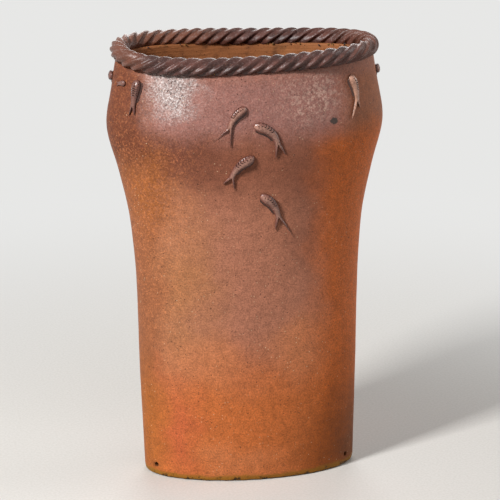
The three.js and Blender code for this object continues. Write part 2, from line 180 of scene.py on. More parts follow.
class GlazeSettings(bpy.types.PropertyGroup):
    """The colours that the kiln left on the clay"""
    terracotta: colour("Terracotta", "Orange clay of the lower body", "D6763C")
    body: colour("Body", "Pinkish brown of the middle of the body", "BC7B60")
    band: colour("Band", "Brown band below the shoulder", "9C6048")
    shoulder: colour("Shoulder", "Purplish brown of the shoulder", "A26C60")
    neck: colour("Neck", "Pinkish brown under the rope rim", "A86C58")
    ochre: colour("Ochre", "Tan flush up the left of the body", "B5784A")
    ochre_brown: colour("Ochre brown", "Darker tan of the left edge", "9C5E3A")
    left_end: colour("Left end", "Dark red brown of the shoulder's left end", "6C3822")
    smoky: colour("Smoky", "Dark smoky brown below the shoulder's left half", "74402E")
    rust: colour("Rust", "Rust orange of the right end", "DA6E26")
    right_end: colour("Right end", "Brown of the shoulder's right end", "A2603C")
    scorch: colour("Scorch", "Dark brown low on the right", "6A3606")
    flush: colour("Flush", "Pink flush low on the left", "D0663E")
    pale_flush: colour("Pale flush", "Paler orange flush on the body", "E08A58")
    low_ochre: colour("Low ochre", "Ochre orange of the lower left edge", "B4682C")
    # The haze and the salt speckle also paint the key light's highlight on the left of the
    # shoulder, over the real salt glaze
    haze: colour("Haze", "Grey lilac haze of the salt glaze", "B8A29C")
    salt: colour("Salt", "Pale speckle of the salt glaze", "F0E4E0")
    # Also paints the right-hand light's highlight on the front right of the shoulder
    thin_salt_and_highlight: colour("Thin salt", "Pinkish blotches where the salt glaze is thin", "D2AA9A")
    pit: colour("Pit", "Iron specks and pits", "3A2018")
    grog: colour("Grog", "Pale grit in the clay", "F0CFA8")
    foot: colour("Foot", "Ochre bare clay at the foot", "A87420")
    chip: colour("Chip", "Dark chips along the foot", "2A1C10")
    iron: colour("Iron spot", "The dark iron spot on the shoulder", "3A3834")
    inside: colour("Inside", "Warm brown of the inner wall", "A46840")
    # Also paints the shade deep inside the pot
    inside_dark_and_shade: colour("Inside shade", "Smoky brown of the inner wall", "5E3A26")
    rope: colour("Rope", "Dark purplish brown of the rope rim", "603A32")
    rope_dark: colour("Rope hollows", "The darkest brown of the rope rim", "40241F")
    rope_warm: colour("Rope ends", "Tan brown at the back and left of the rim", "764630")
    crumb: colour("Crumbs", "Ochre crumbs along the rope's seat", "94702F")
    fish: colour("Fish", "Purplish brown of the fish", "804F42")
    # Partly a painted highlight on the fish's tops
    fish_back: colour("Fish backs", "Pinkish tan where the glaze thins over their backs", "D2A08C")
    # Partly pooled glaze and partly painted shade, low on the fish's flanks and in the scale marks
    fish_pooled_glaze_and_shade: colour("Fish hollows", "Dark brown in the fish's hollows", "43241B")
    # Painted light on the fish at the right of the front
    fish_painted_light: colour("Pale fish", "Pinkish tan of the fish at the right", "D09C82")


class StageSettings(bpy.types.PropertyGroup):
    """The camera, the lights and the floor"""
    camera_place: bpy.props.FloatVectorProperty(
        name="Camera place", description="Where the camera stands", subtype="TRANSLATION",
        unit="LENGTH", default=(-0.7251, -3.9408, 1.5227))
    camera_turn: bpy.props.FloatVectorProperty(
        name="Camera turn", description="How the camera is turned", subtype="EULER",
        unit="ROTATION", default=(math.radians(73.83), 0, math.radians(-10.44)))
    lens: bpy.props.FloatProperty(
        name="Lens", description="Focal length of the camera", default=187.44, unit="CAMERA")
    key_power: power("Key power", "Strength of the soft light at the upper left", 109)
    fill_power: power("Fill power", "Strength of the soft light at the right", 26)
    top_power: power("Top power", "Strength of the soft light overhead", 8)
    back_power: power("Back power", "Strength of the soft light behind the pot", 42)
    daylight: bpy.props.FloatProperty(
        name="Daylight", description="Strength of the even light from all round", default=0.09)


def smoothstep(value, low, high):
    share = min(max((value - low) / (high - low), 0), 1)
    return share * share * (3 - 2 * share)


def lerp(low, high, share):
    return low + (high - low) * share


class WallForm:
    """The wall's smooth oval at any height, worked out from the wall settings"""

    LEVELS = ("foot", "lower", "waist", "flare_start", "flare", "shoulder", "neck", "mouth")

    def __init__(self, settings):
        self.settings = settings
        # The foot has no height setting, because it stands at 0
        self.stations = [(getattr(settings, f"{level}_height", 0),
                          getattr(settings, f"{level}_length") / 2) for level in self.LEVELS]
        self.slopes = [self.station_slope(index) for index in range(len(self.stations))]

    def station_slope(self, index):
        last = len(self.stations) - 1
        height, value = self.stations[index]
        below = self.stations[max(index - 1, 0)]
        above = self.stations[min(index + 1, last)]
        if index == 0:
            return (above[1] - value) / (above[0] - height)
        if index == last:
            return (value - below[1]) / (height - below[0])
        span_below = height - below[0]
        span_above = above[0] - height
        slope_below = (value - below[1]) / span_below
        slope_above = (above[1] - value) / span_above
        return (slope_below * span_above + slope_above * span_below) / (span_below + span_above)

    def half_length(self, height):
        index = 0
        while index < len(self.stations) - 2 and height > self.stations[index + 1][0]:
            index += 1
        (z0, v0), (z1, v1) = self.stations[index], self.stations[index + 1]
        span = z1 - z0
        t = (height - z0) / span
        start = 2 * t**3 - 3 * t**2 + 1
        start_slope = t**3 - 2 * t**2 + t
        end_slope = t**3 - t**2
        curve = start_slope * self.slopes[index] + end_slope * self.slopes[index + 1]
        return start * v0 + (1 - start) * v1 + span * curve

    def half_depth(self, height):
        s = self.settings
        share = lerp(s.foot_depth / s.foot_length, s.mouth_depth / s.mouth_length,
                     height / s.mouth_height)
        return self.half_length(height) * share

    def lean(self, height):
        return self.settings.lean * height / self.settings.mouth_height

    def thickness(self, height):
        s = self.settings
        return lerp(s.foot_thickness, s.thickness, height / s.mouth_height)

    def rise(self, angle, height):
        s = self.settings
        rise = (s.end_rise * math.cos(angle) ** 2 + s.back_rise * math.sin(angle)
                - s.diagonal_rise * math.sin(2 * angle))
        return smoothstep(height, s.uneven_from, s.mouth_height) * rise

    def radii(self, height, inset=0.0):
        """Half the oval's length and depth at a height"""
        return self.half_length(height) - inset, self.half_depth(height) - inset

    def outward(self, x, y, height, inset=0.0):
        """Where a place lies across the oval, whose edge is 1 away from the middle"""
        half_length, half_depth = self.radii(height, inset)
        return (x - self.lean(height)) / half_length, y / half_depth

    def angle(self, x, y, height, inset=0.0):
        """The oval's own angle at a place, in radians"""
        across, back = self.outward(x, y, height, inset)
        return math.atan2(back, across)

    def point(self, bearing, height, inset=0.0):
        angle = math.radians(bearing)
        half_length, half_depth = self.radii(height, inset)
        return Vector((self.lean(height) + half_length * math.cos(angle),
                       half_depth * math.sin(angle),
                       height + self.rise(angle, height)))

    def normal(self, bearing, height):
        across = self.point(bearing + 0.1, height) - self.point(bearing - 0.1, height)
        up = self.point(bearing, height + 0.5 * MM) - self.point(bearing, height - 0.5 * MM)
        return across.cross(up).normalized()


def deselect():
    """Leaves edit mode and lets go of every object"""
    if bpy.context.object and bpy.context.object.mode != "OBJECT":
        bpy.ops.object.mode_set(mode="OBJECT")
    bpy.ops.object.select_all(action="DESELECT")


def named(name):
    """Names the object that was just added, and its mesh or curve"""
    made = bpy.context.object
    made.name = name
    made.data.name = name
    return made


def circle(name, vertices, radius=1, fill="NOTHING", turned=0):
    """Adds a circle, turned by an angle about Y"""
    deselect()
    bpy.ops.mesh.primitive_circle_add(vertices=vertices, radius=radius, fill_type=fill,
                                      rotation=(0, turned, 0))
    made = named(name)
    bpy.ops.object.transform_apply(location=False, rotation=True, scale=False)
    return made


def hold(*objects):
    """Selects these objects alone; the first is active"""
    deselect()
    for one in objects:
        one.select_set(True)
    bpy.context.view_layer.objects.active = objects[0]


def edit():
    bpy.ops.object.mode_set(mode="EDIT")


def leave_edit():
    bpy.ops.object.mode_set(mode="OBJECT")


def extrude(by):
    bpy.ops.mesh.extrude_region_move(TRANSFORM_OT_translate={"value": by})


def resize(by, about):
    bpy.ops.transform.resize(value=by, center_override=about)


def turn_outwards():
    """In edit mode: turns every face outwards, and leaves edit mode"""
    bpy.ops.mesh.select_all(action="SELECT")
    bpy.ops.mesh.normals_make_consistent(inside=False)
    leave_edit()


def pick(piece, test, kind="VERT"):
    """In edit mode: selects the vertices or faces whose place passes the test"""
    bpy.ops.mesh.select_mode(type=kind)
    bpy.ops.mesh.select_all(action="DESELECT")
    leave_edit()
    for one in piece.data.vertices if kind == "VERT" else piece.data.polygons:
        one.select = test(one.co if kind == "VERT" else one.center)
    edit()


def modify(piece, kind, **settings):
    """Adds a modifier, sets it up and applies it"""
    hold(piece)
    made = piece.modifiers.new(kind.title(), kind)
    for name, value in settings.items():
        setattr(made, name, value)
    bpy.ops.object.modifier_apply(modifier=made.name)


def refine(piece, levels):
    modify(piece, "SUBSURF", levels=levels, render_levels=levels)


def group(piece, name, weight):
    """A vertex group whose weights come from each vertex's place"""
    made = piece.vertex_groups.new(name=name)
    for vertex in piece.data.vertices:
        amount = weight(vertex.co)
        if amount > 0:
            made.add([vertex.index], min(amount, 1), "REPLACE")
    return name


def dent(piece, name, size, amount, detail=2, level=CLOUD_LEVEL, **settings):
    """Soft hand-made dents and swellings, of a size and a depth"""
    cloud = bpy.data.textures.new(name, "CLOUDS")
    cloud.noise_scale = size
    cloud.noise_depth = detail
    modify(piece, "DISPLACE", texture=cloud, strength=amount, mid_level=level,
           texture_coords="LOCAL", **settings)


def another(piece, place):
    """A copy with its own mesh, moved by a matrix"""
    made = piece.copy()
    made.data = piece.data.copy()
    made.data.transform(place)
    bpy.context.collection.objects.link(made)
    return made


def carve(piece, cutters):
    """Cuts shapes out of a piece, and stops if that eats up the piece itself"""
    before = max(piece.dimensions)
    hold(*cutters)
    bpy.ops.object.join()
    modify(piece, "BOOLEAN", operation="DIFFERENCE", solver="EXACT", object=cutters[0],
           material_mode="TRANSFER" if cutters[0].data.materials else "INDEX")
    bpy.data.objects.remove(cutters[0])
    bpy.context.view_layer.update()
    if abs(max(piece.dimensions) - before) > MM:
        raise RuntimeError(f"{piece.name} changed size as it was carved")


def closed(piece):
    """Stops if a mesh has an open or doubled edge"""
    used = {}
    for face in piece.data.polygons:
        for key in face.edge_keys:
            used[key] = used.get(key, 0) + 1
    loose = sum(1 for count in used.values() if count != 2)
    if loose:
        raise RuntimeError(f"{piece.name} has {loose} edges without two faces")


def settle(piece, smooth, slot, *nodes):
    """Smooths a finished piece up to an angle in degrees, and hands it over to the frame"""
    hold(piece)
    bpy.ops.object.shade_smooth_by_angle(angle=math.radians(smooth))
    closed(piece)
    deselect()
    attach(piece, "root")
    if nodes:
        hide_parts(*nodes)
    print(piece.name, len(piece.data.vertices), "vertices", len(piece.data.polygons), "faces")


class Wire:
    """A socket in a finish; a sum on wires adds the Math nodes that it needs"""

    def __init__(self, finish, socket):
        self.finish = finish
        self.socket = socket

    def math(self, operation, *values):
        return self.finish.node("ShaderNodeMath", {"operation": operation}, values)

    def __add__(self, other):
        return self.math("ADD", self, other)

    def __sub__(self, other):
        return self.math("SUBTRACT", self, other)

    def __rsub__(self, other):
        return self.math("SUBTRACT", other, self)

    def __mul__(self, other):
        return self.math("MULTIPLY", self, other)

    __radd__ = __add__
    __rmul__ = __mul__

    def at_most(self, other):
        return self.math("MINIMUM", self, other)

    def at_least(self, other):
        return self.math("MAXIMUM", self, other)

    def between(self, low, high):
        """Rises smoothly from 0 at low to 1 at high"""
        return self.finish.node("ShaderNodeMapRange", {"interpolation_type": "SMOOTHSTEP"},
                                {0: self, 1: low, 2: high})


class Nodes:
    """Adds nodes to the tree of a material or of the world"""

    def __init__(self, owner):
        owner.use_nodes = True
        self.tree = owner.node_tree

    def node(self, kind, settings=None, inputs=(), out=0):
        made = self.tree.nodes.new(kind)
        for name, value in (settings or {}).items():
            setattr(made, name, value)
        for key, value in inputs.items() if isinstance(inputs, dict) else enumerate(inputs):
            self.join(value, made.inputs[key])
        return Wire(self, made.outputs[out])

    def join(self, value, socket):
        if isinstance(value, Wire):
            self.tree.links.new(value.socket, socket)
        elif socket.type == "RGBA":
            socket.default_value = (*value[:3], 1)
        else:
            socket.default_value = value

    def looking(self):
        """1 for the rays that see the background: the camera's, off gloss and through glass"""
        camera, gloss, glass = (self.node("ShaderNodeLightPath", out=f"Is {kind} Ray")
                                for kind in ("Camera", "Glossy", "Transmission"))
        return camera.at_least(gloss).at_least(glass)


class Finish(Nodes):
    """A procedural material on Object coordinates"""

    # How far the edge of a soft patch wanders
    WANDER = 0.05

    def __init__(self, name):
        self.material = bpy.data.materials.new(name)
        super().__init__(self.material)
        self.tint = None
        self.shader = self.tree.nodes["Principled BSDF"]
        self.place = self.node("ShaderNodeTexCoord", out="Object")
        self.x, self.y, self.z = (
            self.node("ShaderNodeSeparateXYZ", inputs=[self.place], out=axis) for axis in range(3))
        drift = self.node("ShaderNodeTexNoise", {"noise_dimensions": "3D"},
                          {"Vector": self.place, "Scale": 14, "Detail": 3}, out=1)
        drift = self.vector("SUBTRACT", drift, (0.5, 0.5, 0.5))
        drift = self.vector("MULTIPLY", drift, (2 * self.WANDER,) * 3)
        self.wandering = self.vector("ADD", self.place, drift)

    def vector(self, operation, *values, out=0):
        return self.node("ShaderNodeVectorMath", {"operation": operation}, values, out)

    def mix(self, share, below, above, kind="MIX"):
        """One colour over another"""
        return self.node("ShaderNodeMix", {"data_type": "RGBA", "blend_type": kind},
                         {0: share, 6: below, 7: above}, out=2)

    def paint(self, share, colour):
        """Lays a colour over the tint, where the share is above 0"""
        self.tint = self.mix(share, self.tint, colour)

    def grade(self, level):
        """Makes the tint lighter or darker by a level about 1"""
        grey = self.node("ShaderNodeCombineColor", {}, [level, level, level])
        self.tint = self.mix(1, self.tint, grey, "MULTIPLY")

    def noise(self, size, detail=2, roughness=0.5, stretch=(1, 1, 1), at=None):
        """Cloudy noise about 0.5 whose features are about this size"""
        place = at or self.place
        if stretch != (1, 1, 1):
            place = self.vector("MULTIPLY", place, stretch)
        return self.node("ShaderNodeTexNoise", {},
                         {"Vector": place, "Scale": 1 / size, "Detail": detail,
                          "Roughness": roughness})

    def dots(self, spacing, radius, share):
        """Round dots: how far apart, how large, and the share of them that is kept"""
        kind = {"feature": "F1"}
        inputs = {"Vector": self.place, "Scale": 1 / spacing}
        distance = self.node("ShaderNodeTexVoronoi", kind, inputs)
        chance = self.node("ShaderNodeTexVoronoi", kind, inputs, out=1)
        chance = self.node("ShaderNodeSeparateColor", inputs=[chance])
        size = radius / spacing
        return distance.between(size, size * 0.55) * chance.between(share, share - 0.02)

    def patch(self, middle, reach, at=None):
        """1 in the middle of a soft patch, falling to 0 at its reach along each axis"""
        offset = self.vector("SUBTRACT", at or self.wandering, middle)
        return self.vector("LENGTH", self.vector("DIVIDE", offset, reach), out=1).between(1, 0)

    def bump(self, *layers):
        """Adds up heights in metres, each a wire and the height it stands for"""
        total = None
        for wire, height in layers:
            part = wire * (height / MM)
            total = part if total is None else total + part
        return self.node("ShaderNodeBump", {}, {"Strength": 1, "Distance": MM, "Height": total})

    def done(self, roughness, normal=None, specular=0.5):
        self.join(self.tint, self.shader.inputs["Base Color"])
        self.join(specular, self.shader.inputs["Specular IOR Level"])
        self.join(roughness, self.shader.inputs["Roughness"])
        if normal:
            self.join(normal, self.shader.inputs["Normal"])
        return self.material


def salt_glazed_wall(context):
    """The flashed and salt-glazed outside of the wall"""
    tone = context.scene.pot_glaze
    wall = context.scene.pot_wall
    form = WallForm(wall)
    f = Finish("salt-glazed wall")

    def spot(bearing, height):
        return tuple(form.point(bearing, height))

    cloud = f.noise(0.05, 3)
    mottle = f.noise(0.013, 3, 0.6)
    grain = f.noise(0.0023, 2, 0.6)
    waver = (f.noise(0.07, 3) - 0.5) * 0.06
    x = f.x + waver
    z = f.z + waver
    # Flashing, from the foot to the neck
    f.tint = f.mix(z.between(0.12, 0.27), tone.terracotta, tone.body)
    f.paint(z.between(0.43, 0.525), tone.band)
    # Each patch: its middle, its reach, how well it covers, and its colour
    for middle, reach, share, over in (
            ((-0.13, -0.08, 0.32), (0.10, 0.12, 0.26), 0.8, tone.ochre),
            ((-0.11, 0.09, 0.30), (0.12, 0.10, 0.22), 0.8, tone.ochre),
            ((-0.14, -0.07, 0.535), (0.15, 0.12, 0.07), 1.0, tone.smoky),
            ((0.11, 0.09, 0.52), (0.13, 0.10, 0.07), 0.7, tone.smoky),
            ((0.085, -0.09, 0.225), (0.09, 0.08, 0.075), 0.7, tone.pale_flush),
            ((0.09, -0.09, 0.43), (0.08, 0.07, 0.15), 0.45, tone.smoky),
            ((-0.085, -0.10, 0.19), (0.07, 0.06, 0.09), 0.6, tone.pale_flush),
            ((-0.03, -0.10, 0.03), (0.13, 0.08, 0.05), 0.7, tone.pale_flush),
            ((0.03, 0.1, 0.36), (0.14, 0.08, 0.10), 0.7, tone.pale_flush),
            ((-0.125, -0.07, 0.085), (0.05, 0.06, 0.12), 0.75, tone.flush),
            ((-0.15, -0.05, 0.19), (0.035, 0.06, 0.06), 0.5, tone.flush),
            ((0.1, 0.08, 0.10), (0.10, 0.07, 0.10), 0.6, tone.flush)):
        f.paint(f.patch(middle, reach) * share, over)
    left_edge = f.mix(z.between(0.10, 0.24), tone.low_ochre, tone.ochre_brown)
    f.paint(x.between(-0.125, -0.17) * 0.9, left_edge)
    f.paint(x.between(0.065, 0.135) * 0.85, tone.rust)
    f.paint(f.patch((0.19, -0.03, 0.03), (0.18, 0.2, 0.24)), tone.scorch)
    # The shoulder, and what lies round its ends
    high = (f.z + waver * 0.8).between(0.545, 0.595)
    shoulder = high * x.between(0.18, 0.10) * x.between(-0.19, -0.15)
    f.paint(high * x.between(0.09, 0.15), tone.right_end)
    scorched = f.mix(f.noise(0.0045, 4, 0.7).between(0.48, 0.7) * 0.8, tone.left_end,
                     tone.ochre_brown)
    f.paint(z.between(0.47, 0.56) * x.between(-0.13, -0.185), scorched)
    f.paint(shoulder, tone.shoulder)
    smoke = 0.35 + 0.6 * f.noise(0.0055, 4, 0.8).between(0.45, 0.58)
    f.paint(f.patch((-0.145, -0.08, 0.562), (0.11, 0.1, 0.04)) * smoke, tone.smoky)
    f.paint(f.patch((-0.17, -0.05, 0.48), (0.08, 0.1, 0.12)) * (1 - smoke), tone.low_ochre)
    f.paint(f.z.between(0.646, 0.668) * x.between(-0.2, -0.17) * 0.6, tone.neck)
    # Pale flecks up both ends
    ends = (x.between(-0.05, -0.15) + x.between(0.09, 0.16) * 0.6) * (1 - shoulder)
    ends = ends * z.between(0.15, 0.3) * (0.25 + 0.75 * z.between(0.6, 0.54))
    flecks = f.noise(0.0034, 3, 0.75).between(0.5, 0.62)
    f.paint(flecks * ends * 0.42, tone.pale_flush)
    # Salt speckle and grey haze, thickest on the left of the shoulder, where they are partly real
    # salt glaze and partly a painted highlight of the key light, broken into pale specks
    thick = 1.25 * f.patch(spot(-131, 0.653), (0.085, 0.1, 0.062)) + 0.06
    speckle = f.noise(0.003, 3, 0.7).between(0.45, 0.62)
    salt_and_highlight = shoulder * thick.at_most(1)
    f.paint(salt_and_highlight * 0.85, tone.haze)
    f.paint(salt_and_highlight * speckle * 0.9, tone.salt)
    blotches = f.noise(0.0055, 4, 0.8).between(0.49, 0.58)
    # Pinkish blotches: at the back they are real thin salt, and on the front right (bearing -64)
    # they are a painted highlight of the right-hand light
    thin = (f.patch(spot(-64, 0.632), (0.09, 0.1, 0.075))
            + f.patch(spot(75, 0.62), (0.14, 0.1, 0.08)))
    f.paint(shoulder * thin.at_most(1) * blotches * 0.85, tone.thin_salt_and_highlight)
    dark = f.noise(0.0039, 2, 0.6, at=f.vector("ADD", f.place, (0.3, 0, 0))).between(0.53, 0.68)
    f.paint(dark * (0.15 + 0.55 * salt_and_highlight), tone.pit)
    # Grain and mottling all over
    f.grade(0.7 * mottle + 1.3 * grain)
    # Pits, iron specks and pale grit
    pits = f.dots(0.0065, 0.0011, 0.35)
    f.paint(pits * 0.7, tone.pit)
    cluster = f.patch(spot(-70, 0.21), (0.08, 0.06, 0.045)) * 1.4
    strewn = 0.1 + cloud.between(0.42, 0.6) * 0.6 + cluster
    f.paint(f.dots(0.0046, 0.001, 0.2) * strewn.at_most(1), tone.grog)
    # The iron spot, the drain holes' scorch, and the foot
    blot = f.patch(spot(-56, 0.589), (0.01, 0.01, 0.008), f.place)
    f.paint((blot + f.noise(0.004, 3, 0.7) - 0.5).between(0.12, 0.42) * 0.9, tone.iron)
    for bearing in wall.drain_bearings:
        halo = f.patch(spot(bearing, wall.drain_height), (0.011, 0.011, 0.008), f.place)
        f.paint(halo * 0.7, tone.scorch)
    edge = f.z + (f.noise(0.03, 3) - 0.5) * 0.012
    f.paint(edge.between(0.013, 0.006) * 0.85, tone.foot)
    chips = f.noise(0.011, 4, 0.65).between(0.52, 0.6) * edge.between(0.011, 0.003)
    f.paint(chips, tone.chip)
    gloss = shoulder * (0.6 + 0.4 * salt_and_highlight)
    rough = 0.52 - 0.26 * gloss + 0.12 * grain
    lines = f.noise(0.06, 3, 0.6, (1, 1, 16))
    normal = f.bump((grain, 0.0006), (speckle * salt_and_highlight, 0.0004), (lines, 0.0003),
                    (pits * -1, 0.0006), (mottle, 0.0006))
    return f.done(rough, normal, 0.3)


def inner_wall(context):
    """The warm, matt inside of the wall"""
    tone = context.scene.pot_glaze
    f = Finish("inner wall")
    grain = f.noise(0.0026, 2, 0.6)
    blotch = f.noise(0.022, 4, 0.6)
    f.tint = f.mix(blotch.between(0.25, 0.55), tone.inside_dark_and_shade, tone.inside)
    f.paint(f.patch((0.1, 0.09, 0.665), (0.09, 0.05, 0.02)) * 0.7, tone.ochre)
    # Painted shade: the inner wall darker towards the bottom, deep inside the pot
    f.paint(f.z.between(0.35, 0.05) * 0.5, tone.inside_dark_and_shade)
    f.grade(0.75 + 0.5 * grain)
    f.paint(f.dots(0.006, 0.0012, 0.5) * 0.7, tone.pit)
    lines = f.noise(0.08, 3, 0.6, (1, 1, 14))
    return f.done(0.62 + 0.1 * grain, f.bump((grain, 0.0004), (lines, 0.0014)), 0.2)


def bare_slab(context):
    """The bare, matt clay of the floor slab"""
    tone = context.scene.pot_glaze
    f = Finish("bare slab")
    grain = f.noise(0.0026, 2, 0.6)
    f.tint = f.mix(f.noise(0.04, 3).between(0.3, 0.7), tone.inside, tone.terracotta)
    f.paint(grain.between(0.45, 0.7) * 0.3, tone.grog)
    f.paint(f.dots(0.006, 0.0011, 0.4) * 0.7, tone.pit)
    return f.done(0.78 + 0.1 * grain, f.bump((grain, 0.0004), (f.noise(0.01, 3), 0.0006)), 0.2)


def rope_glaze(context):
    """The glossy dark glaze of the rope rim"""
    tone = context.scene.pot_glaze
    f = Finish("rope glaze")
    grain = f.noise(0.0022, 2, 0.6)
    cloud = f.noise(0.03, 3)
    f.tint = f.mix(cloud.between(0.35, 0.65), tone.rope, tone.rope_dark)
    ends = f.x.between(-0.16, -0.2)
    back = f.y.between(0.01, 0.07) * f.x.between(0.02, -0.12)
    right = f.x.between(0.12, 0.19)
    f.paint((ends * 0.55 + back * 0.8 + right * 0.35).at_most(1), tone.rope_warm)
    f.paint(f.noise(0.006, 3).between(0.6, 0.72) * 0.35, tone.rope_warm)
    f.paint(f.noise(0.0028, 3, 0.7).between(0.52, 0.7) * 0.3, tone.haze)
    f.grade(0.7 + 0.6 * grain)
    rough = 0.24 + 0.12 * cloud + 0.16 * grain + 0.12 * right
    normal = f.bump((grain, 0.0003), (f.noise(0.005, 3), 0.0007))
    return f.done(rough, normal, 0.4)


def crumb_clay(context):
    """The ochre and dark crumbs along the rope's seat"""
    tone = context.scene.pot_glaze
    f = Finish("crumb clay")
    f.tint = f.mix(f.noise(0.006, 2).between(0.42, 0.58), tone.crumb, tone.rope_dark)
    return f.done(0.6, f.bump((f.noise(0.001, 2), 0.0002)))


def fish_glaze(context):
    """The satin glaze of the fish: dark low on the flanks, partly pooled glaze and partly painted
    shade, and pale on the right-hand one with painted light
    """
    tone = context.scene.pot_glaze
    f = Finish("fish glaze")
    grain = f.noise(0.0018, 2, 0.6)
    proud = f.node("ShaderNodeAttribute", {"attribute_name": PROUD}, out=2)
    # Painted light: the fish at the right of the front is painted paler where the right-hand light
    # falls on it
    f.tint = f.mix(f.patch((0.15, -0.07, 0.63), (0.05, 0.05, 0.06), f.place).between(0, 0.3),
                   tone.fish, tone.fish_painted_light)
    f.paint(f.noise(0.007, 3).between(0.42, 0.62) * 0.4, tone.rope)
    left = f.x.between(-0.15, -0.17)
    f.paint(left * 0.8, tone.rope)
    # Pale backs: partly the glaze thinning over the backs, partly a painted highlight on the
    # fish's tops
    thin = (proud + 0.5 * f.noise(0.003, 3, 0.6)).between(1.0, 1.35)
    f.paint(thin * (0.7 - 0.5 * left), tone.fish_back)
    # Darker low on the flanks and towards the wall: partly pooled glaze, partly painted shade
    f.paint((proud + 0.3 * grain).between(0.95, 0.3) * 0.95, tone.fish_pooled_glaze_and_shade)
    f.grade(0.75 + 0.5 * grain)
    rough = 0.2 + 0.16 * grain
    return f.done(rough, f.bump((grain, 0.0002), (f.noise(0.004, 2), 0.0005)))


def scale_groove(context):
    """The dark glaze that gathered in the pressed scale marks, together with painted shade in
    their hollows
    """
    f = Finish("scale groove")
    f.tint = context.scene.pot_glaze.fish_pooled_glaze_and_shade
    f.grade(0.7 + 0.6 * f.noise(0.002))
    return f.done(0.4)


def pale_floor():
    """The plain pale floor, which passes into the pale background away from the pot"""
    f = Finish("pale floor")
    looking = f.looking()
    grain = f.noise(0.004, 2).between(0.3, 0.7)
    seen = f.mix(grain, *(shade(code) for code in FLOOR))
    f.tint = f.mix(looking, shade(FLOOR_GLOW), seen)
    f.done(0.8)
    away = f.vector("LENGTH", f.place, out=1).between(0.35, 1.7)
    glow = f.node("ShaderNodeEmission", {}, [BACKGROUND, 1])
    both = f.node("ShaderNodeMixShader", {}, [away * looking, Wire(f, f.shader.outputs[0]), glow])
    f.join(both, f.tree.nodes["Material Output"].inputs["Surface"])
    return f.material


def studio_air(strength):
    """Even light from all round, in place of which the pale background is seen"""
    world = bpy.data.worlds.new("studio_air")
    nodes = Nodes(world)
    air = nodes.node("ShaderNodeBackground", {}, [(1, 1, 1), strength])
    backdrop = nodes.node("ShaderNodeBackground", {}, [BACKGROUND, 1])
    both = nodes.node("ShaderNodeMixShader", {}, [nodes.looking(), air, backdrop])
    nodes.join(both, nodes.tree.nodes["World Output"].inputs["Surface"])
    return world


